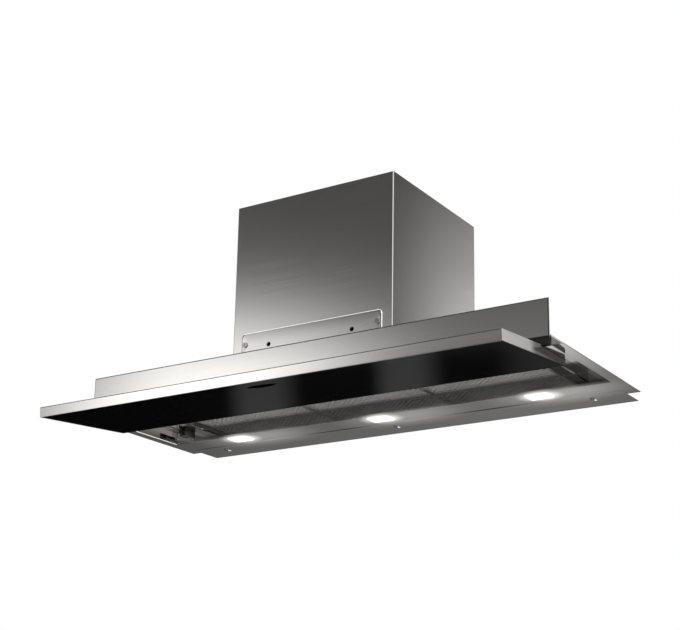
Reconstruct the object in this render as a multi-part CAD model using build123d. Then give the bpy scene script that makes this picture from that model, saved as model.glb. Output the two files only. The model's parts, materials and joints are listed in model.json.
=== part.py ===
from build123d import *
import os
from math import radians, sin, cos, pi

# Pull-out range hood, 90 cm class. Every length is in millimetres.
# The pieces are drawn in the tray frame: X to the right, Y to the back, Z up,
# with X = 0 on the centre line, Y = 0 on the front of the fixed panel
# and Z = 0 on the underside of the tray flange.
# On export everything is moved so that the origin is midway between the two
# cabinet holes of the front bracket, on the bracket's front face.

SHEET = 1.0                # thickness of the folded steel sheet

# tray: the folded frame seen from below
TRAY_W = 898.0
TRAY_REAR = 304.0
FLANGE_FRONT = 9.0         # where the side flanges begin
OPEN_HALF = 430.0          # inner edge of the side flanges
SIDE_RISE = 13.0           # height of the upright side walls
CEILING_HALF = 421.0       # where the sloping side folds meet the ceiling
CEILING_Z = 22.0           # underside of the ceiling
BAR_FRONT = 230.0          # front wall of the light bar
SLOT_X = (367.0, 372.0)    # slots that the visor arms pass through
SLOT_Y = (62.0, 229.0)
SLOT_RIB = 18.0            # height of the upstand along each slot

# fixed front panel
PANEL_HALF = 432.0
PANEL_Z = (10.6, 70.0)
PANEL_LIP = 9.0

# black profile between the panel and the visor
SEAL_HALF = 431.0
SEAL_Y = (1.0, 8.95)
SEAL_Z = (-1.0, 14.0)
SEAL_CAP = 1.8

# plenum above the filters
PLENUM_HALF = 358.0
PLENUM_Y = (12.0, 303.0)
PLENUM_TOP = 62.0

# motor box
BOX_HALF = 154.5
BOX_Y = (28.5, 304.5)
BOX_TOP = 341.0
BEND_R = 2.0

# bracket on the front of the motor box
BRACKET_HALF = 135.5
BRACKET_T = 2.0
BRACKET_TOP = 111.0
BRACKET_HOLE_X = 80.5
BRACKET_HOLE_Z = 86.0
BRACKET_HOLE_R = 4.0
BRACKET_SCREW_X = 128.0
BRACKET_SCREW_Z = 91.5

# duct collar and its two flaps
DUCT_Y = 205.0
DUCT_R = 75.0
DUCT_WALL = 1.5
DUCT_TOP = 383.0
DUCT_PLATE = 176.0
DUCT_PLATE_T = 2.0
FLAP_Z = 356.0
FLAP_R = 72.6
ROD_R = 2.0

# visor, drawn level with its front lower edge at (0, 0) and then tilted
VISOR_HALF = 424.0
VISOR_DEPTH = 207.5
VISOR_H = 17.0
VISOR_TILT = 5.0
VISOR_FRONT_Y = -134.5
VISOR_FRONT_Z = -31.4
VISOR_SKIN = 1.2
GRIP_HALF = 30.0           # finger recess, half width
GRIP_DEPTH = 20.0
GRIP_U = 36.0              # its middle, measured back from the visor's front

# visor rails, in the visor's tilted frame
RAIL_U = (159.0, 420.0)
RAIL_W = 49.2
RAIL_HALF_H = 7.0
GLIDER_U = (162.0, 282.0)
ARM_X = 369.4              # middle of the arm plate

# filters
FILTER_PITCH = 232.0
FILTER_W = 230.0
FILTER_Y = (76.0, 228.0)
FILTER_Z = (22.3, 30.3)
FILTER_RIM = 5.0           # width of the rim at the sides and the rear
FILTER_FRONT_RIM = 9.0

# light bar
LIGHT_X = (-298.0, 0.0, 298.0)
LIGHT_Y = 250.0
LENS_SIZE = (40.0, 32.0)

# rear filler plate
FILLER_HALF = 427.5
FILLER_Y = (282.0, 349.0)
FILLER_Z = (-1.3, -0.3)
FILLER_SCREW_X = (-368.5, 0.0, 368.5)
FILLER_SCREW_Y = 300.0

# blower
SCROLL_Y = 158.0
SCROLL_Z = 178.0
SCROLL_HALF = 71.0
SCROLL_R = (88.0, 117.0)   # from the cut-off round to the outlet
SCROLL_SKIN = 1.5
OUTLET_TOP = 322.0
WHEEL_R = 78.0
WHEEL_HALF = 60.0
BLADES = 24
SHAFT_R = 4.0

# cable gland on top of the motor box
GLAND_X = -110.0
GLAND_Y = 85.0

# limit switch at the left end of the light bar's front wall
SWITCH_X = (-416.5, -397.0)
SWITCH_Z = (12.2, 21.5)
LEVER_X = (-420.8, -417.8)
LEVER_PIN = (222.5, 18.1)  # Y and Z of the lever's pivot

ORIGIN = (0.0, BOX_Y[0] - BRACKET_T, BRACKET_HOLE_Z)


# ---------------------------------------------------------------- helpers
def block(x, y, z):
    """Box given by its limits along each axis."""
    size = (x[1] - x[0], y[1] - y[0], z[1] - z[0])
    middle = ((x[0] + x[1]) / 2, (y[0] + y[1]) / 2, (z[0] + z[1]) / 2)
    return Pos(*middle) * Box(*size)


def along_y(points, y0, y1):
    """Outline in X and Z, extruded from y0 to y1."""
    plane = Plane((0, y0, 0), x_dir=(1, 0, 0), z_dir=(0, -1, 0))
    face = plane * make_face(Polyline(*points, close=True))
    return extrude(face, amount=y0 - y1)


def along_x(points, x0, x1):
    """Outline in Y and Z, extruded from x0 to x1."""
    plane = Plane((x0, 0, 0), x_dir=(0, 1, 0), z_dir=(1, 0, 0))
    face = plane * make_face(Polyline(*points, close=True))
    return extrude(face, amount=x1 - x0)


def rod_x(radius, x, y, z):
    """Round bar along X."""
    return Pos((x[0] + x[1]) / 2, y, z) * Rot(0, 90, 0) * Cylinder(radius, x[1] - x[0])


def rod_y(radius, x, y, z):
    """Round bar along Y."""
    return Pos(x, (y[0] + y[1]) / 2, z) * Rot(90, 0, 0) * Cylinder(radius, y[1] - y[0])


def rod_z(radius, x, y, z):
    """Round bar along Z."""
    return Pos(x, y, (z[0] + z[1]) / 2) * Cylinder(radius, z[1] - z[0])


def tilted(shape):
    """Place a shape of the visor's own frame into the tray frame."""
    return Pos(0, VISOR_FRONT_Y, VISOR_FRONT_Z) * Rot(VISOR_TILT, 0, 0) * shape


def mirrored(shape):
    """The same shape on the other side of the centre line."""
    return mirror(shape, about=Plane.YZ)


def rounded_plate(size, middle, z, corner):
    """Flat plate in X and Y with rounded corners."""
    face = RectangleRounded(size[0], size[1], corner)
    return Pos(middle[0], middle[1], z[0]) * extrude(face, amount=z[1] - z[0])


# ---------------------------------------------------------------- tray
def side_section():
    """Cross-section of the tray sheet: flanges, side walls, folds and ceiling."""
    right = [
        (OPEN_HALF, 0),
        (TRAY_W / 2, 0),
        (TRAY_W / 2, SHEET),
        (OPEN_HALF + SHEET, SHEET),
        (OPEN_HALF + SHEET, SIDE_RISE),
        (CEILING_HALF + SHEET / 2, CEILING_Z + SHEET),
    ]
    left = [(-x, z) for x, z in reversed(right)]
    inner_left = [(-OPEN_HALF, SIDE_RISE - 0.4), (-CEILING_HALF, CEILING_Z)]
    inner_right = [(CEILING_HALF, CEILING_Z), (OPEN_HALF, SIDE_RISE - 0.4)]
    return right + left + inner_left + inner_right


def make_tray():
    tray = along_y(side_section(), FLANGE_FRONT, TRAY_REAR)
    ceiling = (CEILING_Z, CEILING_Z + SHEET)
    tray += block((-CEILING_HALF, CEILING_HALF), (SHEET, FLANGE_FRONT + 1), ceiling)
    bar_bottom = (0, SHEET)
    tray += block((-OPEN_HALF, OPEN_HALF), (BAR_FRONT, TRAY_REAR), bar_bottom)
    wall_half = OPEN_HALF - 3.5
    for y in (BAR_FRONT, TRAY_REAR - SHEET):
        wall = along_y(wall_outline(wall_half), y, y + SHEET)
        tray += wall
    tray -= filter_opening()
    for side in (-1, 1):
        slot_x = sorted((side * SLOT_X[0], side * SLOT_X[1]))
        tray -= block(slot_x, SLOT_Y, (CEILING_Z - 1, CEILING_Z + 2 * SHEET))
        rib_x = sorted((side * SLOT_X[1], side * (SLOT_X[1] + SHEET)))
        tray += block(rib_x, SLOT_Y, (CEILING_Z, CEILING_Z + SLOT_RIB))
    for x in LIGHT_X:
        hole = (LENS_SIZE[0] + 1, LENS_SIZE[1] + 1)
        tray -= rounded_plate(hole, (x, LIGHT_Y), (-1, SHEET + 1), 5.5)
    for x in FILLER_SCREW_X:
        tray -= rod_z(2.0, x, FILLER_SCREW_Y, (-1, SHEET + 1))
    return tray


def wall_outline(half):
    """Outline that fills the tray's section under the ceiling."""
    return [
        (-OPEN_HALF, 0),
        (OPEN_HALF, 0),
        (OPEN_HALF, SIDE_RISE - 0.4),
        (CEILING_HALF, CEILING_Z),
        (-CEILING_HALF, CEILING_Z),
        (-OPEN_HALF, SIDE_RISE - 0.4),
    ]


def filter_opening():
    half = 1.5 * FILTER_PITCH + 1.0
    return block((-half, half), (74.0, 229.6), (CEILING_Z - 1, CEILING_Z + 2 * SHEET))


# ---------------------------------------------------------------- front panel
def make_fixed_front_panel():
    panel = block((-PANEL_HALF, PANEL_HALF), (0, SHEET), PANEL_Z)
    lip_half = OPEN_HALF - 1
    lip_y = (SHEET, SHEET + PANEL_LIP)
    panel += block((-lip_half, lip_half), lip_y, (PANEL_Z[0], PANEL_Z[0] + SHEET))
    panel += block((-lip_half, lip_half), (SHEET, 8), (PANEL_Z[1] - SHEET, PANEL_Z[1]))
    return panel


def make_panel_brackets():
    """Two angles that hold the panel to the tray's ceiling."""
    top = CEILING_Z + SHEET
    angles = []
    for x in (-300.0, 300.0):
        angle = block((x - 20, x + 20), (SHEET, 11.5), (top, top + 1.5))
        angle += block((x - 20, x + 20), (SHEET, SHEET + 1.5), (top, 60))
        angles.append(angle)
    return Compound(children=angles)


def make_front_seal():
    """Black profile under the panel's lip, with an upright cap at each end."""
    under_lip = (SEAL_Z[0], PANEL_Z[0] - 0.1)
    seal = block((-SEAL_HALF, SEAL_HALF), SEAL_Y, under_lip)
    for side in (-1, 1):
        cap_x = sorted((side * (SEAL_HALF - SEAL_CAP), side * SEAL_HALF))
        cap = block(cap_x, SEAL_Y, SEAL_Z)
        rear_top = cap.edges().filter_by(Axis.X).sort_by(Axis.Y)[-2:].sort_by(Axis.Z)[-1]
        seal += fillet(rear_top, 2.0)
    return seal


# ---------------------------------------------------------------- plenum
def make_plenum():
    bottom = CEILING_Z + SHEET
    outer = block((-PLENUM_HALF, PLENUM_HALF), PLENUM_Y, (bottom, PLENUM_TOP))
    inner_half = PLENUM_HALF - SHEET
    inner_y = (PLENUM_Y[0] + SHEET, PLENUM_Y[1] - SHEET)
    plenum = outer - block((-inner_half, inner_half), inner_y, (bottom - 1, PLENUM_TOP - SHEET))
    half = BOX_HALF - 14
    opening_y = (BOX_Y[0] + 14, BOX_Y[1] - 16)
    return plenum - block((-half, half), opening_y, (PLENUM_TOP - 2, PLENUM_TOP + 1))


# ---------------------------------------------------------------- motor box
def make_motor_box():
    """Front, sides and top folded from one sheet, with an inner foot flange."""
    outer = block((-BOX_HALF, BOX_HALF), BOX_Y, (PLENUM_TOP, BOX_TOP))
    front_edges = outer.edges().filter_by(Axis.Z).sort_by(Axis.Y)[:2]
    outer = fillet(front_edges, BEND_R)
    inner_half = BOX_HALF - SHEET
    inner_y = (BOX_Y[0] + SHEET, BOX_Y[1] + 1)
    box = outer - block((-inner_half, inner_half), inner_y, (PLENUM_TOP + SHEET, BOX_TOP - SHEET))
    foot_half = BOX_HALF - 14
    foot_y = (BOX_Y[0] + 14, BOX_Y[1] + 1)
    box -= block((-foot_half, foot_half), foot_y, (PLENUM_TOP - 1, PLENUM_TOP + 2))
    box -= rod_z(DUCT_R + 1, 0, DUCT_Y, (BOX_TOP - 2, BOX_TOP + 1))
    box -= rod_z(8.0, GLAND_X, GLAND_Y, (BOX_TOP - 2, BOX_TOP + 1))
    for x in (-BRACKET_HOLE_X, BRACKET_HOLE_X):
        box -= rod_y(BRACKET_HOLE_R, x, (BOX_Y[0] - 1, BOX_Y[0] + 2), BRACKET_HOLE_Z)
    for x in (-BRACKET_SCREW_X, BRACKET_SCREW_X):
        box -= rod_y(1.9, x, (BOX_Y[0] - 1, BOX_Y[0] + 2), BRACKET_SCREW_Z)
    return box


def make_motor_box_rear_cover():
    half = BOX_HALF - SHEET
    z = (PLENUM_TOP + SHEET, BOX_TOP - SHEET)
    return block((-half, half), (BOX_Y[1] - SHEET, BOX_Y[1]), z)


def make_body_screws():
    """Screws of the duct plate, the rear cover, the foot flange and the panel brackets."""
    screws = []
    plate_top = BOX_TOP + DUCT_PLATE_T
    for x in (-80.0, 80.0):
        for y in (DUCT_Y - 80, DUCT_Y + 80):
            screws.append(rod_z(3.2, x, y, (plate_top, plate_top + 2.0)))
    for x in (-130.0, 130.0):
        for z in (100.0, 200.0, 300.0):
            screws.append(rod_y(3.0, x, (BOX_Y[1], BOX_Y[1] + 1.8), z))
    top = PLENUM_TOP + SHEET
    for x in (-BOX_HALF + 7.5, BOX_HALF - 7.5):
        for y in (60.0, 160.0, 260.0):
            screws.append(rod_z(3.2, x, y, (top, top + 2.0)))
    bracket_top = CEILING_Z + SHEET + 1.5
    for x in (-310, -290, 290, 310):
        screws.append(rod_z(3.0, x, 7.0, (bracket_top, bracket_top + 1.8)))
    return Compound(children=screws)


def make_front_bracket():
    """Upright plate on the motor box with two cabinet holes and a foot on the plenum."""
    y = (BOX_Y[0] - BRACKET_T, BOX_Y[0])
    plate = block((-BRACKET_HALF, BRACKET_HALF), y, (PLENUM_TOP, BRACKET_TOP))
    top_edges = plate.edges().filter_by(Axis.Y).sort_by(Axis.Z)[-2:]
    plate = fillet(top_edges, 7.0)
    plate += block((-BRACKET_HALF, BRACKET_HALF), (14.0, BOX_Y[0]), (PLENUM_TOP, PLENUM_TOP + 2))
    for x in (-BRACKET_HOLE_X, BRACKET_HOLE_X):
        plate -= rod_y(BRACKET_HOLE_R, x, (y[0] - 1, y[1] + 1), BRACKET_HOLE_Z)
    for x in (-BRACKET_SCREW_X, BRACKET_SCREW_X):
        plate -= rod_y(1.9, x, (y[0] - 1, y[1] + 1), BRACKET_SCREW_Z)
    return plate


def make_bracket_screws():
    screws = []
    face = BOX_Y[0] - BRACKET_T
    for x in (-BRACKET_SCREW_X, BRACKET_SCREW_X):
        screw = rod_y(4.6, x, (face - 2.0, face), BRACKET_SCREW_Z)
        screw += rod_y(1.9, x, (face, BOX_Y[0] + 5), BRACKET_SCREW_Z)
        cut = block((x - 0.5, x + 0.5), (face - 3, face - 1.2), (BRACKET_SCREW_Z - 2.4, BRACKET_SCREW_Z + 2.4))
        screw -= cut
        bar = block((x - 2.4, x + 2.4), (face - 3, face - 1.2), (BRACKET_SCREW_Z - 0.5, BRACKET_SCREW_Z + 0.5))
        screws.append(screw - bar)
    return Compound(children=screws)


# ---------------------------------------------------------------- duct collar
def make_duct_plate():
    """Square plate that closes the top of the motor box round the spigot."""
    half = DUCT_PLATE / 2
    y = (DUCT_Y - half, DUCT_Y + half)
    plate = block((-half, half), y, (BOX_TOP, BOX_TOP + DUCT_PLATE_T))
    return plate - rod_z(DUCT_R - DUCT_WALL, 0, DUCT_Y, (BOX_TOP - 1, BOX_TOP + 4))


def make_duct_collar():
    """Round spigot with a stop inside that the closed flaps nearly touch."""
    collar = rod_z(DUCT_R, 0, DUCT_Y, (BOX_TOP + DUCT_PLATE_T, DUCT_TOP))
    collar -= rod_z(DUCT_R - DUCT_WALL, 0, DUCT_Y, (BOX_TOP - 1, DUCT_TOP + 1))
    stop = rod_z(DUCT_R - DUCT_WALL, 0, DUCT_Y, (FLAP_Z - 3.0, FLAP_Z - 1.2))
    stop -= rod_z(DUCT_R - DUCT_WALL - 3, 0, DUCT_Y, (FLAP_Z - 4, FLAP_Z))
    stop -= block((-80, 80), (DUCT_Y - 5, DUCT_Y + 5), (FLAP_Z - 4, FLAP_Z))
    return collar + stop


def make_flap_rod():
    reach = DUCT_R - DUCT_WALL - 0.05
    return rod_x(ROD_R, (-reach, reach), DUCT_Y, FLAP_Z)


def make_flap(side):
    """Half disc that hangs on the rod; side is -1 for the front, 1 for the rear."""
    disc = rod_z(FLAP_R, 0, DUCT_Y, (FLAP_Z - 0.6, FLAP_Z + 0.6))
    edge = DUCT_Y + side * 4.2
    kept = sorted((edge, edge + side * 100))
    flap = disc & block((-100, 100), kept, (FLAP_Z - 5, FLAP_Z + 5))
    starts = (-60.0, 0.5) if side < 0 else (-29.5, 31.0)
    for start in starts:
        knuckle_x = (start, start + 29.0)
        web_y = sorted((DUCT_Y + side * 2.8, DUCT_Y + side * 6))
        flap += rod_x(ROD_R + 1.6, knuckle_x, DUCT_Y, FLAP_Z)
        flap += block(knuckle_x, web_y, (FLAP_Z - 0.6, FLAP_Z + 0.6))
    return flap - rod_x(ROD_R + 0.06, (-80, 80), DUCT_Y, FLAP_Z)


# ---------------------------------------------------------------- blower
def scroll_face(inset):
    """Volute outline with its outlet pointing up, drawn in Y and Z."""
    steps = 12
    points = []
    for i in range(steps + 1):
        angle = radians(90 + 270 * i / steps)
        radius = SCROLL_R[0] + (SCROLL_R[1] - SCROLL_R[0]) * i / steps - inset
        points.append((SCROLL_Y + radius * cos(angle), SCROLL_Z + radius * sin(angle)))
    spiral = Spline(*points)
    end = points[-1]
    start = points[0]
    corner_left = (start[0] + inset, start[1])
    outline = [
        spiral,
        Line(end, (end[0], OUTLET_TOP + inset)),
        Line((end[0], OUTLET_TOP + inset), (corner_left[0], OUTLET_TOP + inset)),
        Line((corner_left[0], OUTLET_TOP + inset), corner_left),
    ]
    if inset:
        outline.append(Line(corner_left, start))
    return make_face(outline)


def extrude_scroll(inset, half):
    plane = Plane((-half, 0, 0), x_dir=(0, 1, 0), z_dir=(1, 0, 0))
    return extrude(plane * scroll_face(inset), amount=2 * half)


def make_blower_housing():
    housing = extrude_scroll(0, SCROLL_HALF)
    housing -= extrude_scroll(SCROLL_SKIN, SCROLL_HALF - SCROLL_SKIN)
    housing -= rod_x(63.0, (-SCROLL_HALF - 1, SCROLL_HALF + 1), SCROLL_Y, SCROLL_Z)
    return housing


def make_inlet_rings():
    """Bell-mouth ring on each side of the scroll."""
    rings = []
    for x in ((-SCROLL_HALF - 6, -SCROLL_HALF), (SCROLL_HALF, SCROLL_HALF + 6)):
        ring = rod_x(70.0, x, SCROLL_Y, SCROLL_Z)
        ring -= rod_x(63.0, (x[0] - 1, x[1] + 1), SCROLL_Y, SCROLL_Z)
        rings.append(ring)
    return Compound(children=rings)


def make_outlet_adapter():
    """Short transition from the square blower outlet to the round collar."""
    y0 = SCROLL_Y
    y1 = SCROLL_Y + SCROLL_R[1]
    middle = (y0 + y1) / 2
    width = 2 * SCROLL_HALF
    depth = y1 - y0
    top = BOX_TOP
    low = Pos(0, middle, OUTLET_TOP) * Rectangle(width, depth)
    high = Pos(0, DUCT_Y, top) * Circle(DUCT_R - DUCT_WALL - 0.3)
    low_in = Pos(0, middle, OUTLET_TOP) * Rectangle(width - 3, depth - 3)
    high_in = Pos(0, DUCT_Y, top) * Circle(DUCT_R - DUCT_WALL - 1.8)
    return loft([low, high]) - loft([low_in, high_in])


def make_impeller():
    """Double-inlet wheel: centre disc, end rings, blades and hub."""
    axis = (SCROLL_Y, SCROLL_Z)
    wheel = rod_x(WHEEL_R, (4, 6), *axis)
    wheel += rod_x(11, (2, 20), *axis)
    for x in ((-WHEEL_HALF, -WHEEL_HALF + 3), (WHEEL_HALF - 3, WHEEL_HALF)):
        ring = rod_x(WHEEL_R, x, *axis) - rod_x(WHEEL_R - 14, (x[0] - 1, x[1] + 1), *axis)
        wheel += ring
    for i in range(BLADES):
        blade = Pos(0, WHEEL_R - 7, 0) * Rot(40, 0, 0) * Box(2 * WHEEL_HALF - 2, 12, 1.4)
        wheel += Pos(0, *axis) * Rot(360 * i / BLADES, 0, 0) * blade
    return wheel - rod_x(SHAFT_R, (-30, 30), *axis)


def make_impeller_shaft():
    return rod_x(SHAFT_R, (-52, 26), SCROLL_Y, SCROLL_Z)


def make_motor():
    """Round motor can inside the wheel, with the shaft running through it."""
    motor = rod_x(44, (-58, -4), SCROLL_Y, SCROLL_Z)
    motor += rod_x(16, (-64, -58), SCROLL_Y, SCROLL_Z)
    return motor - rod_x(SHAFT_R + 0.06, (-70, 0), SCROLL_Y, SCROLL_Z)


def make_motor_spider():
    """Three arms from the motor's end to the left inlet ring."""
    x = (-SCROLL_HALF - 9, -SCROLL_HALF - 6)
    spider = rod_x(16, x, SCROLL_Y, SCROLL_Z)
    for i in range(3):
        arm = Pos((x[0] + x[1]) / 2, 35, 0) * Box(3, 66, 9)
        spider += Pos(0, SCROLL_Y, SCROLL_Z) * Rot(90 + 120 * i, 0, 0) * arm
    spider += rod_x(10, (x[1], -64), SCROLL_Y, SCROLL_Z)
    return spider


def make_blower_mounts():
    """Rubber feet between the blower and the motor box sides."""
    feet = []
    reach = BOX_HALF - SHEET - 0.1
    for x in ((-reach, -SCROLL_HALF), (SCROLL_HALF, reach)):
        for y, z in ((SCROLL_Y - 55, SCROLL_Z + 58), (SCROLL_Y + 67, SCROLL_Z + 72)):
            feet.append(block(x, (y - 6, y + 6), (z - 5, z + 5)))
    return Compound(children=feet)


# ---------------------------------------------------------------- electrics
def make_control_box():
    box = block((-150, -86), (45, 190), (66, 104))
    return box - block((-147.5, -88.5), (47.5, 187.5), (68.5, 105))


def make_control_box_lid():
    return block((-150, -86), (45, 190), (104, 106.5))


def make_control_board():
    return block((-146, -90), (50, 185), (72, 73.6))


def make_capacitor():
    return rod_z(18, 115, 62, (63, 128)) + rod_z(4, 115, 62, (128, 134))


def make_cable_gland():
    """Threaded gland for the mains lead, hollow right through."""
    top = BOX_TOP
    gland = rod_z(11, GLAND_X, GLAND_Y, (top, top + 5))
    gland += rod_z(8, GLAND_X, GLAND_Y, (top - 10, top + 16))
    gland += rod_z(11, GLAND_X, GLAND_Y, (top - 6, top - 1))
    return gland - rod_z(4.5, GLAND_X, GLAND_Y, (top - 11, top + 17))


def make_led_driver():
    top = CEILING_Z + SHEET
    return block((210, 320), (242, 290), (top, top + 24))


def make_light_rims():
    rims = []
    for x in LIGHT_X:
        outer = (LENS_SIZE[0] + 4, LENS_SIZE[1] + 4)
        rim = rounded_plate(outer, (x, LIGHT_Y), (-0.6, 0), 7.0)
        rim += rounded_plate((LENS_SIZE[0] + 1, LENS_SIZE[1] + 1), (x, LIGHT_Y), (0, 4), 5.5)
        rim -= rounded_plate(LENS_SIZE, (x, LIGHT_Y), (-1, 5), 5.0)
        rims.append(rim)
    return Compound(children=rims)


def make_light_lenses():
    lenses = []
    for x in LIGHT_X:
        lenses.append(rounded_plate(LENS_SIZE, (x, LIGHT_Y), (-0.4, 2.6), 5.0))
    return Compound(children=lenses)


def make_light_boards():
    boards = []
    for x in LIGHT_X:
        boards.append(rounded_plate((44, 34), (x, LIGHT_Y), (4.0, 12.0), 3.0))
    return Compound(children=boards)


def make_switch_plate():
    return block((-428, SWITCH_X[1]), (BAR_FRONT - 1.5, BAR_FRONT), (2, 12))


def make_switch_body():
    body = block(SWITCH_X, (219, BAR_FRONT), SWITCH_Z)
    return body - block((-411, -405), (218, 226), (14.0, 19.5))


def make_switch_plunger():
    """Push button that the closed visor stops just short of."""
    return block((-410.6, -405.4), (208.0, 222.0), (14.4, 19.1))


def make_switch_lever():
    y, z = LEVER_PIN
    lever = block(LEVER_X, (184, y - 1.5), (z - 0.3, z + 0.4))
    lever += rod_x(2.4, LEVER_X, y, z)
    return lever - rod_x(1.06, (-424, -416), y, z)


def make_switch_pivot():
    return rod_x(1.0, (LEVER_X[0] - 0.6, SWITCH_X[0]), *LEVER_PIN)


# ---------------------------------------------------------------- visor
def make_visor_frame():
    """Shallow steel pan, open below, with rounded rear corners in side view."""
    pan = block((-VISOR_HALF, VISOR_HALF), (VISOR_SKIN, VISOR_DEPTH), (0, VISOR_H))
    rear_top = pan.edges().filter_by(Axis.X).sort_by(Axis.Y)[-2:].sort_by(Axis.Z)[-1]
    pan = fillet(rear_top, 4.0)
    half = VISOR_HALF - VISOR_SKIN
    hollow_u = (0, VISOR_DEPTH - VISOR_SKIN)
    pan -= block((-half, half), hollow_u, (-1, VISOR_H - VISOR_SKIN - 3))
    pan -= block((-half, half), (0, VISOR_DEPTH - VISOR_SKIN - 3), (-1, VISOR_H - VISOR_SKIN))
    return tilted(pan)


def make_visor_front_profile():
    """Front strip with a narrow lip under the glass edge."""
    strip = block((-VISOR_HALF, VISOR_HALF), (0, VISOR_SKIN), (0, VISOR_H))
    half = VISOR_HALF - VISOR_SKIN
    strip += block((-half, half), (VISOR_SKIN, 4.5), (0, VISOR_SKIN))
    return tilted(strip)


def grip_outline(extra):
    """Lens-shaped outline of the finger recess, made of two arcs."""
    half = GRIP_HALF + extra
    rise = GRIP_DEPTH / 2 + extra
    front = ThreePointArc((-half, GRIP_U), (0, GRIP_U - rise), (half, GRIP_U))
    rear = ThreePointArc((half, GRIP_U), (0, GRIP_U + rise), (-half, GRIP_U))
    return make_face([front, rear])


def make_visor_glass():
    half = VISOR_HALF - VISOR_SKIN - 0.2
    glass = block((-half, half), (4.8, VISOR_DEPTH - VISOR_SKIN - 0.2), (0.4, 4.4))
    glass -= extrude(grip_outline(0), amount=10)
    return tilted(glass)


def make_grip_cup():
    cup = Pos(0, 0, 4.4) * extrude(grip_outline(3), amount=8.6)
    cup -= Pos(0, 0, 4.0) * extrude(grip_outline(0), amount=7.6)
    return tilted(cup)


def make_visor_ribs():
    """Two hat ribs between the glass and the top of the pan."""
    ribs = []
    for x in (-210.0, 210.0):
        rib = block((x - 15, x + 15), (12, 200), (4.4, VISOR_H - VISOR_SKIN))
        rib -= block((x - 13.5, x + 13.5), (11, 201), (4.3, VISOR_H - VISOR_SKIN - 1.5))
        ribs.append(tilted(rib))
    return Compound(children=ribs)


def make_visor_arm():
    """Plate from the visor's top up through the ceiling slot to the glider."""
    x = (ARM_X - 1.0, ARM_X + 1.0)
    outline = [(165, VISOR_H), (200, VISOR_H), (262, 36), (262, 54), (208, 54), (208, 33)]
    web = along_x(outline, x[0], x[1])
    foot = block((ARM_X - 12, x[1]), (160, 200), (VISOR_H, VISOR_H + 2))
    return tilted(web + foot)


def make_arm_screws():
    screws = []
    for side in (-1, 1):
        for u in (168.0, 192.0):
            screw = rod_z(2.8, side * (ARM_X - 6), u, (VISOR_H + 2, VISOR_H + 3.6))
            screws.append(tilted(screw))
    return Compound(children=screws)


def make_rail_glider():
    """Nylon block that runs inside the rail."""
    x = (PLENUM_HALF + 1.7, ARM_X - 1.0)
    return tilted(block(x, GLIDER_U, (RAIL_W - 5.4, RAIL_W + 5.4)))


def make_rail():
    """C-channel on the side of the plenum, open towards the arm."""
    x0 = PLENUM_HALF
    wall = 1.2
    rail = block((x0, x0 + 9.8), RAIL_U, (RAIL_W - RAIL_HALF_H, RAIL_W + RAIL_HALF_H))
    inner_w = (RAIL_W - RAIL_HALF_H + wall, RAIL_W + RAIL_HALF_H - wall)
    rail -= block((x0 + wall, x0 + 10), (RAIL_U[0] - 1, RAIL_U[1] + 1), inner_w)
    return tilted(rail)


# ---------------------------------------------------------------- filters
def filter_x(index):
    middle = (index - 1) * FILTER_PITCH
    return (middle - FILTER_W / 2, middle + FILTER_W / 2)


def make_filter_frame(index):
    """Folded rim with two rear hooks and a pocket for the latch at the front."""
    x = filter_x(index)
    middle = (x[0] + x[1]) / 2
    frame = block(x, FILTER_Y, FILTER_Z)
    inner_x = (x[0] + FILTER_RIM, x[1] - FILTER_RIM)
    inner_y = (FILTER_Y[0] + FILTER_FRONT_RIM, FILTER_Y[1] - FILTER_RIM)
    frame -= block(inner_x, inner_y, (FILTER_Z[0] - 1, FILTER_Z[1] + 1))
    frame += block((middle - 24, middle + 24), (inner_y[0] - 1, inner_y[0] + 16), FILTER_Z)
    frame -= block((middle - 20, middle + 20), (FILTER_Y[0] + 3, inner_y[0] + 13), (FILTER_Z[0] - 1, 27.0))
    frame -= block((middle - 8.4, middle + 8.4), (FILTER_Y[0] - 1, inner_y[0]), (23.2, 25.8))
    for hook in (middle - 80, middle + 80):
        frame += block((hook - 8, hook + 8), (FILTER_Y[1] - 2, 236), (23.3, 24.8))
    return frame


def make_filter_mesh(index):
    x = filter_x(index)
    middle = (x[0] + x[1]) / 2
    z = (FILTER_Z[0] + 1.2, FILTER_Z[1] - 1.2)
    inner_x = (x[0] + FILTER_RIM, x[1] - FILTER_RIM)
    inner_y = (FILTER_Y[0] + FILTER_FRONT_RIM, FILTER_Y[1] - FILTER_RIM)
    mesh = block(inner_x, inner_y, z)
    mesh -= block((middle - 24, middle + 24), (FILTER_Y[0] + 8, FILTER_Y[0] + 25), (z[0] - 1, z[1] + 1))
    return mesh


def make_filter_latch(index):
    """Sliding handle with a tongue that rests on the ceiling's front edge."""
    x = filter_x(index)
    middle = (x[0] + x[1]) / 2
    y0 = FILTER_Y[0] + 3.4
    latch = block((middle - 19, middle + 19), (y0, y0 + 11), (22.8, 26.4))
    latch -= block((middle - 14, middle + 14), (y0 + 3, y0 + 9), (22, 25))
    latch += block((middle - 8, middle + 8), (70.5, y0 + 1), (23.5, 25.5))
    return latch


# ---------------------------------------------------------------- filler plate
def make_filler_plate():
    """Thin plate under the light bar that slides back to meet the wall."""
    plate = block((-FILLER_HALF, FILLER_HALF), FILLER_Y, FILLER_Z)
    for x in FILLER_SCREW_X:
        slot = SlotOverall(19.0, 5.2, rotation=90)
        cut = Pos(x, FILLER_SCREW_Y + 6.6, FILLER_Z[0] - 1) * extrude(slot, amount=3)
        plate -= cut
    return plate


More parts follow.
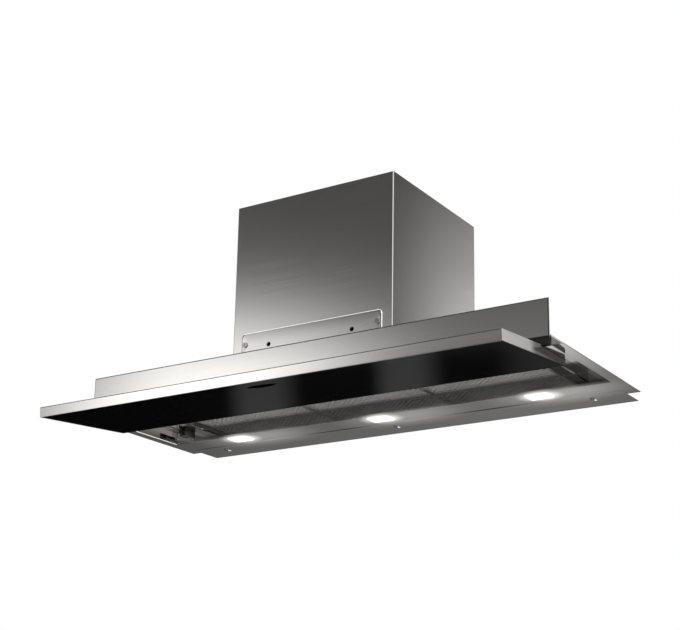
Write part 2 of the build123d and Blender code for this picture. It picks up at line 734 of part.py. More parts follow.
def make_filler_screws():
    screws = []
    low = FILLER_Z[0] - 0.3
    for x in FILLER_SCREW_X:
        screw = rod_z(3.8, x, FILLER_SCREW_Y, (low - 1.5, low))
        screw += rod_z(2.0, x, FILLER_SCREW_Y, (low, 8))
        screw -= block((x - 2.6, x + 2.6), (FILLER_SCREW_Y - 0.5, FILLER_SCREW_Y + 0.5), (low - 2, low - 0.9))
        screw -= block((x - 0.5, x + 0.5), (FILLER_SCREW_Y - 2.6, FILLER_SCREW_Y + 2.6), (low - 2, low - 0.9))
        screws.append(screw)
    return Compound(children=screws)


# ---------------------------------------------------------------- assembly
def make_parts():
    parts = {
        "tray": make_tray(),
        "fixed_front_panel": make_fixed_front_panel(),
        "panel_brackets": make_panel_brackets(),
        "front_seal": make_front_seal(),
        "plenum": make_plenum(),
        "motor_box": make_motor_box(),
        "motor_box_rear_cover": make_motor_box_rear_cover(),
        "body_screws": make_body_screws(),
        "front_bracket": make_front_bracket(),
        "bracket_screws": make_bracket_screws(),
        "duct_collar": make_duct_collar(),
        "duct_plate": make_duct_plate(),
        "flap_rod": make_flap_rod(),
        "flap_front": make_flap(-1),
        "flap_rear": make_flap(1),
        "blower_housing": make_blower_housing(),
        "inlet_rings": make_inlet_rings(),
        "outlet_adapter": make_outlet_adapter(),
        "impeller": make_impeller(),
        "impeller_shaft": make_impeller_shaft(),
        "motor": make_motor(),
        "motor_spider": make_motor_spider(),
        "blower_mounts": make_blower_mounts(),
        "control_box": make_control_box(),
        "control_box_lid": make_control_box_lid(),
        "control_board": make_control_board(),
        "capacitor": make_capacitor(),
        "cable_gland": make_cable_gland(),
        "led_driver": make_led_driver(),
        "light_rims": make_light_rims(),
        "light_lenses": make_light_lenses(),
        "light_boards": make_light_boards(),
        "switch_plate": make_switch_plate(),
        "switch_body": make_switch_body(),
        "switch_plunger": make_switch_plunger(),
        "switch_lever": make_switch_lever(),
        "switch_pivot": make_switch_pivot(),
        "visor_frame": make_visor_frame(),
        "visor_front_profile": make_visor_front_profile(),
        "visor_glass": make_visor_glass(),
        "grip_cup": make_grip_cup(),
        "visor_ribs": make_visor_ribs(),
        "arm_screws": make_arm_screws(),
        "filler_plate": make_filler_plate(),
        "filler_screws": make_filler_screws(),
    }
    right_sides = {
        "visor_arm": make_visor_arm(),
        "rail_glider": make_rail_glider(),
        "rail": make_rail(),
    }
    for name, shape in right_sides.items():
        parts[name + "_right"] = shape
        parts[name + "_left"] = mirrored(shape)
    for index, place in enumerate(("left", "centre", "right")):
        parts["filter_frame_" + place] = make_filter_frame(index)
        parts["filter_mesh_" + place] = make_filter_mesh(index)
        parts["filter_latch_" + place] = make_filter_latch(index)
    return parts


os.makedirs("parts", exist_ok=True)
shift = Pos(-ORIGIN[0], -ORIGIN[1], -ORIGIN[2])
for name, shape in make_parts().items():
    export_step(shift * shape, "parts/" + name + ".step")
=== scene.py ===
import bmesh
import bpy
import json
from math import cos, pi, radians, sin
from mathutils import Matrix, Vector

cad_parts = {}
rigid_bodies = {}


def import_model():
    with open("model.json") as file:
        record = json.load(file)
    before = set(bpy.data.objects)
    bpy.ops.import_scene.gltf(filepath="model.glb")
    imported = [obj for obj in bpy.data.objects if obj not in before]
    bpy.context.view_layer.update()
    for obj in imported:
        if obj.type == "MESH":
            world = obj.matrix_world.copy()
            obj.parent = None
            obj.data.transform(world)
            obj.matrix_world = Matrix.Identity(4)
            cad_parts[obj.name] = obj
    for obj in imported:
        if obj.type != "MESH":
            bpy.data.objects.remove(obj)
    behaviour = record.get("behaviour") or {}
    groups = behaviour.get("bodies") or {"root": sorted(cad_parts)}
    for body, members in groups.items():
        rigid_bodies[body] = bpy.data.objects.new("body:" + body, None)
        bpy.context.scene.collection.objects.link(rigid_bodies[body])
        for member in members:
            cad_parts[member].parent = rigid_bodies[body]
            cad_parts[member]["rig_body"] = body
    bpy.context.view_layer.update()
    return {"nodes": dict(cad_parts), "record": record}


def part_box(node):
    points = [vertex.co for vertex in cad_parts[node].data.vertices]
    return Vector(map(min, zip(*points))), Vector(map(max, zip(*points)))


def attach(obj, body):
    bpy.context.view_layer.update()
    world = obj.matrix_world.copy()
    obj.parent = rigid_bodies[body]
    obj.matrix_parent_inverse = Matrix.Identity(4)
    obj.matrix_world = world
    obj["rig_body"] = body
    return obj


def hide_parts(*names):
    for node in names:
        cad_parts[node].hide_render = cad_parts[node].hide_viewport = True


# Pull-out range hood. Lengths are in metres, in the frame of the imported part.

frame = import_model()

NODES = frame["nodes"]
SLOT_OF = {s["node"]: s["material_slot"] for s in frame["record"]["subparts"]}
PLACES = ("left", "centre", "right")

# camera
CAMERA_AT = (1.2662, -1.8600, -0.7210)
CAMERA_YAW = -32.9565
CAMERA_PITCH = 15.9828
CAMERA_ROLL = 1.0092
CAMERA_LENS = 77.675
CAMERA_SENSOR = 36
CAMERA_SHIFT = 0.1
CAMERA_RANGE = (0.05, 100)

# softened edges
SHEET_BEVEL = 0.0003
GLASS_BEVEL = 0.0005
PLASTIC_BEVEL = 0.0006
SCREW_BEVEL = 0.0003
BEVEL_SEGMENTS = 2
SHARP_ANGLE = radians(32)

# clean-up of the CAD faces
WELD = 0.000002                # points nearer than this are one
FLAT_ANGLE = radians(0.5)      # faces that differ less than this are one

# sheet folds
FOLD_RADIUS = 0.0019
PROFILE_RADIUS = 0.0014
BRACKET_RADIUS = 0.0017
TRAY_RADIUS = 0.0009
FOLD_SEGMENTS = 4
BRACKET_ROUND = 0.012          # width of the bracket's rounded sides
FOOT_BAND = 0.012              # height of the band above its foot that has no fold
FLANGE_INNER = 0.430           # inner edge of the tray's side flanges
FACES_SIDE = 0.5               # a facet faces a side when its normal is beyond this
NEAR = 0.0001

# expanded metal of the filters
MESH_CELL = (0.0106, 0.0056)
MESH_STRAND = (0.0013, 0.0007)
MESH_LAYERS = (0.0010, 0.0038)
MESH_WAVE = 0.6                # rise of a strand's tips, in half thicknesses
POCKET_HALF = 0.0245           # the latch's pocket in each filter
POCKET_DEPTH = 0.0170

# painted glow round the lamps
LENS_RATIO = 1.25              # a lens's width over its depth
LAMP_COLOUR = (1.0, 0.965, 0.92, 1)
# each glow: shift along X, reach along X and Y, brightness
GLOWS = (
    (0.042, (0.150, 0.075), 0.20),
    (0.002, (0.046, 0.036), 1.10),
)
GLOW_FADE = (0.006, 0.001)     # heights above the lenses' underside: glow gone, glow full

# painted shade: the tray's inside is darker than its underside
TRAY_INSIDE = 0.392
TRAY_INSIDE_RISE = 0.002
TRAY_PAINTED_SHADE_SHARE = 0.55

# painted shade: the visor's steel turns dark between these Y
VISOR_SHADE = (-0.080, -0.052)
VISOR_SHADE_SHARE = 0.3

# where most of a noise texture's values lie
NOISE_BAND = (0.3, 0.7)
GRAIN_DEPTH = 0.0002

STEEL_COLOUR = (0.63, 0.615, 0.60)

# floor and lights
FLOOR_Z = -1.7
FLOOR_HALF = 30.0
LIGHT_WIDTH = 1.6
KEY_AT = (-1.6, -2.2, 2.4)
KEY_POWER = 60
FILL_AT = (2.4, 1.0, 2.0)
FILL_POWER = 30

# light that the steel reflects: it grows from low to high between two rises in degrees
SKY_RISE = (-20, 70)
SKY_LIGHT = (0.30, 0.95)
# Each window: turn from +Y towards +X and rise, both in degrees as (starts, full, full, ends),
# and the share of light left in a dim one or the light that a bright one adds. They are placed
# for the reflections that this camera sees.
DIM_WINDOWS = (
    ((-178, -165, -120, -105), (10, 22, 50, 65), 0.30),
    ((-178, -160, -120, -100), (-30, -10, 24, 30), 0.42),
    ((5, 20, 60, 80), (-5, 10, 45, 65), 0.14),
    ((-75, -60, -39.5, -36), (-40, -25, -8, 2), 0.68),
    ((-60, -45, -16, -10), (-26, -20, -8, 2), 0.55),
    ((-75, -60, -10, 10), (-11, -8, 2, 8), 0.03),
)
BRIGHT_WINDOWS = (
    ((-151.5, -143.2, -140.6, -134.6), (-6, 3, 15.8, 20.1), 1.9),
    ((-172, -160, -150, -146), (8, 14, 19, 22), 0.09),
    ((25.0, 26.0, 27.4, 31.0), (4, 10, 17.5, 27), 0.85),
    ((25.0, 25.8, 26.5, 27.8), (8, 14, 18.5, 21), 0.85),
    ((-33, -26, -24, -20.5), (-30, -22, -17.8, -16.4), 0.9),
    ((112, 130, 170, 179), (-25, -8, 35, 55), 0.9),
    ((-62, -45, -20, 0), (28, 38, 60, 72), 0.9),
    ((-36.5, -35.4, -34.6, -33.2), (-12, -8.5, -5, -1), 0.09),
    ((-30.8, -29.7, -29, -27.5), (-12, -8.5, -5, -1), 0.10),
    ((-26, -24, -20, -16), (-12, -8.5, -5, -1), 0.05),
)


# ---------------------------------------------------------------- shader helpers
class Nodes:
    """A node tree with short ways to add and join nodes."""

    def __init__(self, tree):
        self.tree = tree

    def node(self, kind, **settings):
        made = self.tree.nodes.new(kind)
        for key, value in settings.items():
            setattr(made, key, value)
        return made

    def link(self, source, target):
        self.tree.links.new(source, target)

    def math(self, operation, first, second=None):
        made = self.node("ShaderNodeMath", operation=operation)
        for socket, value in zip(made.inputs, (first, second)):
            if isinstance(value, (int, float)):
                socket.default_value = value
            elif value is not None:
                self.link(value, socket)
        return made.outputs[0]

    def ramp(self, value, source, target, smooth=False):
        made = self.node("ShaderNodeMapRange")
        made.interpolation_type = "SMOOTHSTEP" if smooth else "LINEAR"
        self.link(value, made.inputs["Value"])
        made.inputs["From Min"].default_value = source[0]
        made.inputs["From Max"].default_value = source[1]
        made.inputs["To Min"].default_value = target[0]
        made.inputs["To Max"].default_value = target[1]
        return made.outputs["Result"]

    def coordinates(self, kind):
        """X, Y and Z of one kind of texture coordinate."""
        place = self.node("ShaderNodeTexCoord")
        parts = self.node("ShaderNodeSeparateXYZ")
        self.link(place.outputs[kind], parts.inputs["Vector"])
        return [parts.outputs[axis] for axis in "XYZ"]


class Shader(Nodes):
    """A new material's node tree, with its surface."""

    def __init__(self, name):
        self.material = bpy.data.materials.new(name)
        self.material.use_nodes = True
        super().__init__(self.material.node_tree)
        self.surface = self.tree.nodes["Principled BSDF"]

    def noise(self, scale, detail=3.0, stretch=(1, 1, 1), roughness=0.5):
        place = self.node("ShaderNodeTexCoord")
        mapping = self.node("ShaderNodeMapping")
        mapping.inputs["Scale"].default_value = stretch
        made = self.node("ShaderNodeTexNoise")
        made.inputs["Scale"].default_value = scale
        made.inputs["Detail"].default_value = detail
        made.inputs["Roughness"].default_value = roughness
        self.link(place.outputs["Object"], mapping.inputs["Vector"])
        self.link(mapping.outputs["Vector"], made.inputs["Vector"])
        return made.outputs["Fac"]

    def tint(self, value, dark, light):
        made = self.node("ShaderNodeMix", data_type="RGBA")
        made.inputs["A"].default_value = (*dark, 1)
        made.inputs["B"].default_value = (*light, 1)
        self.link(value, made.inputs["Factor"])
        return made.outputs["Result"]

    def bump(self, height, strength):
        made = self.node("ShaderNodeBump")
        made.inputs["Strength"].default_value = strength
        made.inputs["Distance"].default_value = GRAIN_DEPTH
        self.link(height, made.inputs["Height"])
        self.feed("Normal", made.outputs["Normal"])

    def set(self, name, value):
        self.surface.inputs[name].default_value = value

    def feed(self, name, source):
        """Let a node's output drive one of the surface's sockets."""
        self.link(source, self.surface.inputs[name])

    def shade(self, amount):
        """Multiply the surface's colour by a value."""
        target = self.surface.inputs["Base Color"]
        source = target.links[0].from_socket
        scale = self.node("ShaderNodeVectorMath", operation="SCALE")
        self.link(source, scale.inputs[0])
        self.link(amount, scale.inputs["Scale"])
        self.link(scale.outputs["Vector"], target)


# ---------------------------------------------------------------- materials
def brushed_grain(shader):
    """Fine lines along X on level faces and level lines on upright ones."""
    level = shader.noise(1.0, 4.0, (6, 1500, 6), 0.65)
    upright = shader.noise(1.0, 4.0, (6, 6, 1500), 0.65)
    normal_z = shader.coordinates("Normal")[2]
    is_level = shader.math("GREATER_THAN", shader.math("ABSOLUTE", normal_z), 0.7)
    mix = shader.node("ShaderNodeMix", data_type="FLOAT")
    shader.link(is_level, mix.inputs["Factor"])
    shader.link(upright, mix.inputs["A"])
    shader.link(level, mix.inputs["B"])
    return mix.outputs["Result"]


def steel(name, roughness, colour, grain_strength):
    """Stainless sheet with a brushed grain and very slight cloudiness."""
    shader = Shader(name)
    grain = brushed_grain(shader)
    cloud = shader.noise(3.0, 2.0)
    shader.set("Metallic", 1.0)
    dark = tuple(0.93 * c for c in colour)
    light = tuple(min(1.0, 1.04 * c) for c in colour)
    shader.feed("Base Color", shader.tint(grain, dark, light))
    low = shader.ramp(grain, NOISE_BAND, (0.85 * roughness, 1.15 * roughness))
    high = shader.ramp(cloud, NOISE_BAND, (0.94, 1.06))
    shader.feed("Roughness", shader.math("MULTIPLY", low, high))
    shader.bump(grain, grain_strength)
    return shader


def lamp_centres():
    """X of the left, middle and right lamp."""
    low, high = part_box("light_lenses")
    half = (high.x - low.x - (high.y - low.y) * LENS_RATIO) / 2
    return (-half, 0.0, half)


def painted_lamp_glow(shader, x, y):
    """Brightness of the painted glow at a place, summed over the lamps."""
    low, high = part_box("light_lenses")
    along = shader.math("SUBTRACT", y, (low.y + high.y) / 2)
    total = None
    for centre in lamp_centres():
        for shift, reach, peak in GLOWS:
            across = shader.math("SUBTRACT", x, centre + shift)
            flat = shader.math("MULTIPLY", across, 1 / reach[0])
            deep = shader.math("MULTIPLY", along, 1 / reach[1])
            flat_square = shader.math("MULTIPLY", flat, flat)
            deep_square = shader.math("MULTIPLY", deep, deep)
            away = shader.math("SQRT", shader.math("ADD", flat_square, deep_square))
            glow = shader.ramp(away, (1.0, 0.0), (0.0, peak), True)
            total = glow if total is None else shader.math("ADD", total, glow)
    return total


def painted_light_steel():
    """Brushed steel of the tray, with painted shade inside, and the glow that each lamp throws
    round itself.
    The glow is emission painted by place, not light from the lamps."""
    shader = steel("painted_light_steel", 0.095, STEEL_COLOUR, 0.03)
    x, y, z = shader.coordinates("Object")
    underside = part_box("light_lenses")[0].z
    fade = tuple(underside + rise for rise in GLOW_FADE)
    beneath = shader.ramp(z, fade, (0.0, 1.0))
    inside = shader.math("LESS_THAN", shader.math("ABSOLUTE", x), TRAY_INSIDE)
    above = shader.math("GREATER_THAN", z, underside + TRAY_INSIDE_RISE)
    painted_shade_area = shader.math("MULTIPLY", inside, above)
    # painted shade: the colour inside the tray, above its bottom, is darkened
    shader.shade(shader.ramp(painted_shade_area, (0, 1), (1.0, TRAY_PAINTED_SHADE_SHARE)))
    # painted glow round each lamp, as emission
    shader.set("Emission Color", LAMP_COLOUR)
    strength = shader.math("MULTIPLY", painted_lamp_glow(shader, x, y), beneath)
    shader.feed("Emission Strength", strength)
    return shader


def visor_steel_painted_shade():
    """Brushed steel with painted shade, dark where the visor slides into the hood."""
    shader = steel("visor_steel_painted_shade", 0.15, STEEL_COLOUR, 0.04)
    y = shader.coordinates("Object")[1]
    # painted shade: darker towards the rear of the visor
    shader.shade(shader.ramp(y, VISOR_SHADE, (1.0, VISOR_SHADE_SHARE), True))
    return shader


def painted_glow_rim():
    """Lamp ring with a painted glow that stands in for the light of its lens."""
    shader = metal("painted_glow_rim", (0.7, 0.69, 0.67), 0.3)
    # painted glow: the ring glows, though it is no lamp
    shader.set("Emission Color", LAMP_COLOUR)
    shader.set("Emission Strength", 0.5)
    return shader


def painted_fold_light(name, grey, glow):
    """Look of a fold, in two kinds: a painted highlight, and a dark line of painted dark
    reflection.
    """
    shader = Shader(name)
    cloud = shader.noise(40.0, 2.0)
    dark = (0.95 * grey,) * 3
    light = (grey,) * 3
    shader.feed("Base Color", shader.tint(cloud, dark, light))
    shader.set("Roughness", 0.4)
    shader.set("Specular IOR Level", 0.25)
    # painted highlight: emission of the given strength, none for the dark line
    shader.set("Emission Color", (1, 1, 1, 1))
    shader.set("Emission Strength", glow)
    return shader


def galvanised():
    """Zinc coated sheet with a soft spangle."""
    shader = Shader("galvanised")
    place = shader.node("ShaderNodeTexCoord")
    cells = shader.node("ShaderNodeTexVoronoi")
    cells.inputs["Scale"].default_value = 90.0
    shader.link(place.outputs["Object"], cells.inputs["Vector"])
    parts = shader.node("ShaderNodeSeparateColor")
    shader.link(cells.outputs["Color"], parts.inputs["Color"])
    spangle = parts.outputs["Red"]
    shader.set("Metallic", 0.9)
    shader.feed("Base Color", shader.tint(spangle, (0.47, 0.49, 0.50), (0.60, 0.62, 0.63)))
    shader.feed("Roughness", shader.ramp(spangle, (0, 1), (0.34, 0.48)))
    return shader


def plastic(name, colour, roughness, texture=0.12, shine=0.5):
    """Moulded plastic with a fine eroded texture."""
    shader = Shader(name)
    shader.set("Specular IOR Level", shine)
    grain = shader.noise(2600.0, 2.0)
    cloud = shader.noise(30.0, 3.0)
    dark = tuple(0.9 * c for c in colour)
    light = tuple(min(1.0, 1.1 * c) for c in colour)
    shader.feed("Base Color", shader.tint(cloud, dark, light))
    shader.feed("Roughness", shader.ramp(cloud, NOISE_BAND, (0.9 * roughness, 1.1 * roughness)))
    shader.bump(grain, texture)
    return shader


def black_glass():
    """Opaque black glass with a faint unevenness of gloss."""
    shader = Shader("black_glass")
    cloud = shader.noise(6.0, 3.0)
    shader.set("Base Color", (0.0012, 0.0012, 0.0013, 1))
    shader.set("IOR", 1.5)
    shader.feed("Roughness", shader.ramp(cloud, NOISE_BAND, (0.035, 0.055)))
    return shader


def metal(name, colour, roughness, streak=(1, 1, 1), metallic=1.0):
    """Plain metal with a slight uneven gloss."""
    shader = Shader(name)
    cloud = shader.noise(220.0, 3.0, streak)
    shader.set("Metallic", metallic)
    dark = tuple(0.92 * c for c in colour)
    shader.feed("Base Color", shader.tint(cloud, dark, colour))
    shader.feed("Roughness", shader.ramp(cloud, NOISE_BAND, (0.85 * roughness, 1.2 * roughness)))
    shader.bump(cloud, 0.05)
    return shader


def lit_lens():
    """Frosted lens that glows evenly."""
    shader = Shader("lens")
    cloud = shader.noise(400.0, 2.0)
    shader.feed("Base Color", shader.tint(cloud, (0.90, 0.90, 0.88), (0.95, 0.95, 0.93)))
    shader.set("Roughness", 0.35)
    shader.set("Emission Color", (1.0, 0.985, 0.95, 1))
    shader.set("Emission Strength", 1.3)
    return shader


FINISH_OF_SLOT = {
    "brushed_steel": steel("brushed_steel", 0.135, STEEL_COLOUR, 0.04),
    "polished_steel": steel("polished_steel", 0.09, (0.70, 0.69, 0.68), 0.01),
    "galvanised": galvanised(),
    "black_glass": black_glass(),
    "black_plastic": plastic("black_plastic", (0.012, 0.012, 0.013), 0.5, shine=0.2),
    "grey_plastic": plastic("grey_plastic", (0.30, 0.30, 0.31), 0.5),
    "nylon": plastic("nylon", (0.03, 0.03, 0.031), 0.45),
    "black_steel": plastic("black_steel", (0.02, 0.02, 0.021), 0.38, 0.05),
    "rubber": plastic("rubber", (0.022, 0.022, 0.023), 0.75, 0.3),
    "aluminium": metal("aluminium", (0.74, 0.75, 0.76), 0.3, (0.1, 1, 1)),
    "aluminium_mesh": metal("aluminium_mesh", (0.70, 0.675, 0.655), 0.5, metallic=0.5),
    "lens": lit_lens(),
    "screw_steel": metal("screw_steel", (0.40, 0.395, 0.39), 0.16),
    "board": plastic("board", (0.02, 0.16, 0.06), 0.4, 0.05),
    "red_plastic": plastic("red_plastic", (0.022, 0.012, 0.011), 0.4),
}

# these nodes look different from the rest of their slot; the tray and filler plate carry painted
# shade and painted glow, the lamp rims a painted glow, the visor frame painted shade
TRAY_STEEL = painted_light_steel()
FINISH_AND_PAINTED_LIGHT_OF_NODE = {
    "tray": TRAY_STEEL,
    "filler_plate": TRAY_STEEL,
    "light_rims": painted_glow_rim(),
    "switch_body": plastic("switch_grey", (0.065, 0.063, 0.061), 0.5),
    "visor_frame": visor_steel_painted_shade(),
}

# a fold's painted highlight and painted dark reflection, in slots after the sheet's own
FOLD_PAINTED_LIGHTS = (
    painted_fold_light("painted_highlight_edge", 0.92, 0.7),
    painted_fold_light("painted_dark_edge", 0.02, 0.0),
)
PAINTED_HIGHLIGHT_SLOT = 1
PAINTED_DARK_SLOT = 2


def material_of(node):
    """A node's own finish, with painted light for some nodes, or else that of its slot."""
    finish = FINISH_AND_PAINTED_LIGHT_OF_NODE.get(node) or FINISH_OF_SLOT[SLOT_OF[node]]
    return finish.material


# ---------------------------------------------------------------- pieces
def refined(node, bevel, fold=None, radius=0.0, lit_sides=()):
    """A copy of a CAD node with clean faces, softened edges and smooth shading.
    fold picks the edges that get a wider bend of the given radius. A bend is a dark line of
    painted dark reflection, with a painted highlight where it faces one of lit_sides."""
    mesh = NODES[node].data.copy()
    mesh.name = node + "_look"
    work = bmesh.new()
    work.from_mesh(mesh)
    merge_flat_faces(work)
    if fold:
        bend(work, fold, radius, lit_sides)
    smooth_faces(work)
    # clear() resets the slots of a mesh's faces, so it comes before they are written
    mesh.materials.clear()
    mesh.materials.append(material_of(node))
    work.to_mesh(mesh)
    work.free()
    if fold:
        # slots of the folds' painted highlight and painted dark reflection
        for finish in FOLD_PAINTED_LIGHTS:
            mesh.materials.append(finish.material)
    piece = bpy.data.objects.new(node + "_look", mesh)
    bpy.context.scene.collection.objects.link(piece)
    soften(piece, bevel)
    stand_in(piece, node)


def merge_flat_faces(work):
    """Weld the CAD triangles and join the ones that lie in one plane."""
    bmesh.ops.remove_doubles(work, verts=work.verts, dist=WELD)
    bmesh.ops.dissolve_limit(
        work, angle_limit=FLAT_ANGLE, verts=work.verts, edges=work.edges, delimit={"NORMAL"}
    )


def bend(work, fold, radius, lit_sides):
    """Round the edges that fold picks and give their facets the fold's slots of painted light.
    """
    edges = [edge for edge in work.edges if fold(edge)]
    made = bmesh.ops.bevel(
        work, geom=edges, offset=radius, segments=FOLD_SEGMENTS, profile=0.5, affect="EDGES",
        clamp_overlap=False,
    )
    for face in made["faces"]:
        face.normal_update()
        face.material_index = fold_slot(face.normal, lit_sides)


def fold_slot(normal, lit_sides):
    """Slot of a fold's facet: painted highlight if it faces one of lit_sides, else painted dark
    reflection.
    """
    facing = {"right": normal.x, "top": normal.z}
    lit = any(facing[side] > FACES_SIDE for side in lit_sides)
    return PAINTED_HIGHLIGHT_SLOT if lit else PAINTED_DARK_SLOT


def smooth_faces(work):
    """Triangulate wide faces, so that none covers a hole, and smooth all but sharp edges."""
    wide = [face for face in work.faces if len(face.verts) > 4]
    bmesh.ops.triangulate(work, faces=wide)
    for face in work.faces:
        face.smooth = True
    for edge in work.edges:
        edge.smooth = edge.calc_face_angle(0) < SHARP_ANGLE


def soften(piece, bevel):
    """Bevel a piece's sharp edges, unless bevel is 0, and weight its normals."""
    if bevel:
        edges = piece.modifiers.new("edges", "BEVEL")
        edges.width = bevel
        edges.segments = BEVEL_SEGMENTS
        edges.limit_method = "ANGLE"
        edges.angle_limit = SHARP_ANGLE
        edges.miter_outer = "MITER_ARC"
    normals = piece.modifiers.new("normals", "WEIGHTED_NORMAL")
    normals.keep_sharp = True


def stand_in(piece, node):
    """Hide the CAD node and let the piece ride on the same body."""
    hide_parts(node)
    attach(piece, NODES[node]["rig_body"])


def paint(node):
    """Keep the CAD node as it is and give it its finish."""
    mesh = NODES[node].data
    mesh.materials.clear()
    mesh.materials.append(material_of(node))


def strand_rows(work, area, pocket, z, turned):
    """Zigzag strands that touch at their tips, as in expanded metal, clear of the pocket."""
    along, across = area if not turned else (area[1], area[0])
    columns = round((along[1] - along[0]) / (MESH_CELL[0] / 2))
    rows = round((across[1] - across[0]) / MESH_CELL[1])
    step = (along[1] - along[0]) / columns
    pitch = (across[1] - across[0]) / rows
    half_w = MESH_STRAND[0] / 2
    half_t = MESH_STRAND[1] / 2
    section = ((-half_w, -half_t), (half_w, -half_t), (half_w, half_t), (-half_w, half_t))
    for row in range(rows):
        rings = []
        for column in range(columns + 1):
            side = 1 if (row + column) % 2 == 0 else -1
            u = along[0] + column * step
            v = across[0] + (row + 0.5) * pitch + side * (pitch / 2 - half_w)
            height = z + side * half_t * MESH_WAVE
            ring = []
            for dv, dz in section:
                point = (u, v + dv, height + dz) if not turned else (v + dv, u, height + dz)
                ring.append(work.verts.new(point))
            rings.append(ring)
        for first, second in zip(rings, rings[1:]):
            add_run(work, first, second, pocket)


def add_run(work, first, second, pocket):
    """Sides of a strand between two of its rings, without those that meet the pocket."""
    for k, corner in enumerate(first):
        following = (k + 1) % len(first)
        corners = (corner, first[following], second[following], second[k])
        if not any(in_pocket(point.co, pocket) for point in corners):
            work.faces.new(corners)


def in_pocket(point, pocket):
    """Whether a point is in the latch's pocket, which reaches from the front to its rear."""
    middle, half, rear = pocket
    return abs(point.x - middle) < half and point.y < rear


def expanded_filter(place):
    """Layers of expanded aluminium inside one filter's frame."""
    node = "filter_mesh_" + place
    low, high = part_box(node)
    area = ((low.x, high.x), (low.y, high.y))
    pocket = ((low.x + high.x) / 2, POCKET_HALF, low.y + POCKET_DEPTH)
    work = bmesh.new()
    for index, height in enumerate(MESH_LAYERS):
        strand_rows(work, area, pocket, low.z + height, index % 2 == 1)
    loose = [point for point in work.verts if not point.link_faces]
    bmesh.ops.delete(work, geom=loose, context="VERTS")
    bmesh.ops.recalc_face_normals(work, faces=work.faces)
    mesh = bpy.data.meshes.new(node + "_look")
    work.to_mesh(mesh)
    work.free()
    mesh.materials.append(material_of(node))
    piece = bpy.data.objects.new(node + "_look", mesh)
    bpy.context.scene.collection.objects.link(piece)
    stand_in(piece, node)


# ---------------------------------------------------------------- folds
def panel_folds(edge):
    """Rim of the fixed panel's front face."""
    low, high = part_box("fixed_front_panel")
    a, b = (v.co for v in edge.verts)
    at_front = max(a.y, b.y) < low.y + NEAR
    at_rim = max(a.z, b.z) < low.z + NEAR or min(a.z, b.z) > high.z - NEAR
    at_end = min(abs(a.x), abs(b.x)) > high.x - NEAR
    return at_front and (at_rim or at_end)


def tray_folds(edge):
    """Lower inner edges of the tray's side flanges."""
    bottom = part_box("tray")[0].z
    a, b = (v.co for v in edge.verts)
    at_bottom = max(a.z, b.z) < bottom + NEAR
    inner = all(abs(abs(point.x) - FLANGE_INNER) < NEAR for point in (a, b))
    sharp = edge.calc_face_angle(0) > SHARP_ANGLE
    return at_bottom and inner and sharp and abs(a.x - b.x) < NEAR


def profile_folds(edge):
    """Top front edge and upright end edges of the visor's front profile."""
    low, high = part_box("visor_front_profile")
    a, b = (v.co for v in edge.verts)
    at_front = max(a.y, b.y) <= low.y + NEAR
    on_top = min(a.z, b.z) > high.z - NEAR
    at_end = min(abs(a.x), abs(b.x)) > high.x - NEAR
    return at_front and (on_top or at_end)


def bracket_folds(edge):
    """Rim of the bracket's front face, which is at Y 0: its sides and top, without its foot."""
    low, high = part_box("front_bracket")
    a, b = (v.co for v in edge.verts)
    at_front = max(abs(a.y), abs(b.y)) < NEAR
    across = abs(a.x - b.x) > NEAR and abs(a.z - b.z) < NEAR
    at_side = min(abs(a.x), abs(b.x)) > high.x - BRACKET_ROUND
    at_top = min(a.z, b.z) > high.z - NEAR
    at_foot = across and max(a.z, b.z) < low.z + FOOT_BAND
    sharp = edge.calc_face_angle(0) > SHARP_ANGLE
    return at_front and sharp and (at_side or at_top) and not at_foot


SHEET_NODES = (
    "plenum", "motor_box", "motor_box_rear_cover", "duct_plate", "visor_frame", "filler_plate",
    "light_rims", "rail_left", "rail_right", "visor_arm_left", "visor_arm_right",
    "switch_plate", "panel_brackets",
)
PLASTIC_NODES = (
    "duct_collar", "cable_gland", "rail_glider_left", "rail_glider_right", "switch_body",
    "front_seal",
)
SCREW_NODES = ("body_screws", "bracket_screws", "filler_screws", "arm_screws")

for name in SHEET_NODES:
    refined(name, SHEET_BEVEL)
for name in PLASTIC_NODES:
    refined(name, PLASTIC_BEVEL)
for name in SCREW_NODES:
    refined(name, SCREW_BEVEL)
refined("tray", SHEET_BEVEL, tray_folds, TRAY_RADIUS, ("right",))
refined("fixed_front_panel", SHEET_BEVEL, panel_folds, FOLD_RADIUS)
refined("visor_front_profile", SHEET_BEVEL, profile_folds, PROFILE_RADIUS, ("right",))
refined("front_bracket", SHEET_BEVEL, bracket_folds, BRACKET_RADIUS, ("right", "top"))
refined("visor_glass", GLASS_BEVEL)
refined("grip_cup", 0)
refined("light_lenses", SHEET_BEVEL)
refined("switch_plunger", SCREW_BEVEL)
refined("switch_lever", 0)
for side in PLACES:
    refined("filter_frame_" + side, SHEET_BEVEL)
    refined("filter_latch_" + side, SHEET_BEVEL)
    expanded_filter(side)
for name, thing in NODES.items():
    if not thing.hide_render:
        paint(name)


# ---------------------------------------------------------------- surroundings
def window(sky, turn, rise, turns, rises):
    """1 inside a window of the sky, 0 outside."""
    left = sky.ramp(turn, turns[:2], (0.0, 1.0), True)
    right = sky.ramp(turn, turns[:1:-1], (0.0, 1.0), True)
    low = sky.ramp(rise, rises[:2], (0.0, 1.0), True)
    high = sky.ramp(rise, rises[:1:-1], (0.0, 1.0), True)
    across = sky.math("MULTIPLY", left, right)
    return sky.math("MULTIPLY", across, sky.math("MULTIPLY", low, high))


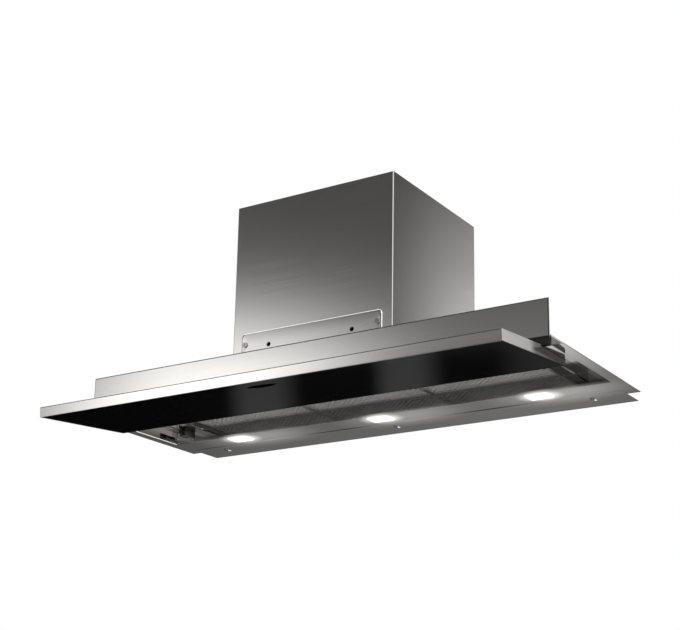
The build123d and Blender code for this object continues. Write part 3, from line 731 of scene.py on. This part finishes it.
def sky_light(sky):
    """Dim studio with soft darker and brighter windows."""
    x, y, z = sky.coordinates("Generated")
    degrees = 180 / pi
    turn = sky.math("MULTIPLY", sky.math("ARCTAN2", x, y), degrees)
    rise = sky.math("MULTIPLY", sky.math("ARCSINE", z), degrees)
    light = sky.ramp(rise, SKY_RISE, SKY_LIGHT, True)
    for turns, rises, share in DIM_WINDOWS:
        lost = sky.math("MULTIPLY", window(sky, turn, rise, turns, rises), 1 - share)
        light = sky.math("MULTIPLY", light, sky.math("SUBTRACT", 1.0, lost))
    for turns, rises, strength in BRIGHT_WINDOWS:
        added = sky.math("MULTIPLY", window(sky, turn, rise, turns, rises), strength)
        light = sky.math("ADD", light, added)
    return light


def surroundings():
    """White where the camera sees it directly; the sky's light for all other rays."""
    world = bpy.data.worlds.new("studio")
    bpy.context.scene.world = world
    world.use_nodes = True
    world.node_tree.nodes.clear()
    sky = Nodes(world.node_tree)
    light = sky_light(sky)
    colour = sky.node("ShaderNodeCombineColor")
    for channel in ("Red", "Green", "Blue"):
        sky.link(light, colour.inputs[channel])
    ray = sky.node("ShaderNodeLightPath")
    mix = sky.node("ShaderNodeMix", data_type="RGBA")
    mix.inputs["B"].default_value = (1, 1, 1, 1)
    sky.link(ray.outputs["Is Camera Ray"], mix.inputs["Factor"])
    sky.link(colour.outputs["Color"], mix.inputs["A"])
    background = sky.node("ShaderNodeBackground")
    output = sky.node("ShaderNodeOutputWorld")
    sky.link(mix.outputs["Result"], background.inputs["Color"])
    sky.link(background.outputs["Background"], output.inputs["Surface"])


def soft_light(name, at, power):
    """Large square light that points at the origin and shows in no reflection."""
    data = bpy.data.lights.new(name, "AREA")
    data.shape = "SQUARE"
    data.size = LIGHT_WIDTH
    data.energy = power
    lamp = bpy.data.objects.new(name, data)
    bpy.context.scene.collection.objects.link(lamp)
    lamp.location = at
    lamp.rotation_mode = "QUATERNION"
    lamp.rotation_quaternion = (-Vector(at)).to_track_quat("-Z", "Y")
    lamp.visible_camera = False
    lamp.visible_glossy = False


def floor():
    """Large pale square far below the hood."""
    mesh = bpy.data.meshes.new("floor")
    h = FLOOR_HALF
    corners = [(-h, -h, FLOOR_Z), (h, -h, FLOOR_Z), (h, h, FLOOR_Z), (-h, h, FLOOR_Z)]
    mesh.from_pydata(corners, [], [(0, 1, 2, 3)])
    shader = Shader("floor")
    cloud = shader.noise(1.5, 2.0)
    shader.feed("Base Color", shader.tint(cloud, (0.88, 0.88, 0.88), (0.90, 0.90, 0.90)))
    shader.set("Roughness", 0.9)
    shader.set("Specular IOR Level", 0.1)
    mesh.materials.append(shader.material)
    piece = bpy.data.objects.new("floor", mesh)
    bpy.context.scene.collection.objects.link(piece)
    piece.visible_glossy = False


def camera():
    """Looks slightly up at the hood from its front right."""
    yaw, pitch, roll = (radians(a) for a in (CAMERA_YAW, CAMERA_PITCH, CAMERA_ROLL))
    forward = Vector((sin(yaw) * cos(pitch), cos(yaw) * cos(pitch), sin(pitch)))
    right = Vector((cos(yaw), -sin(yaw), 0))
    up = right.cross(forward)
    turned_right = cos(roll) * right + sin(roll) * up
    turned_up = cos(roll) * up - sin(roll) * right
    data = bpy.data.cameras.new("camera")
    data.sensor_width = CAMERA_SENSOR
    data.lens = CAMERA_LENS
    data.shift_y = CAMERA_SHIFT
    data.clip_start, data.clip_end = CAMERA_RANGE
    eye = bpy.data.objects.new("camera", data)
    bpy.context.scene.collection.objects.link(eye)
    turn = Matrix((turned_right, turned_up, -forward)).transposed()
    eye.matrix_world = Matrix.Translation(CAMERA_AT) @ turn.to_4x4()
    bpy.context.scene.camera = eye


surroundings()
soft_light("key", KEY_AT, KEY_POWER)
soft_light("fill", FILL_AT, FILL_POWER)
floor()
camera()
bpy.context.scene.view_settings.view_transform = "Standard"
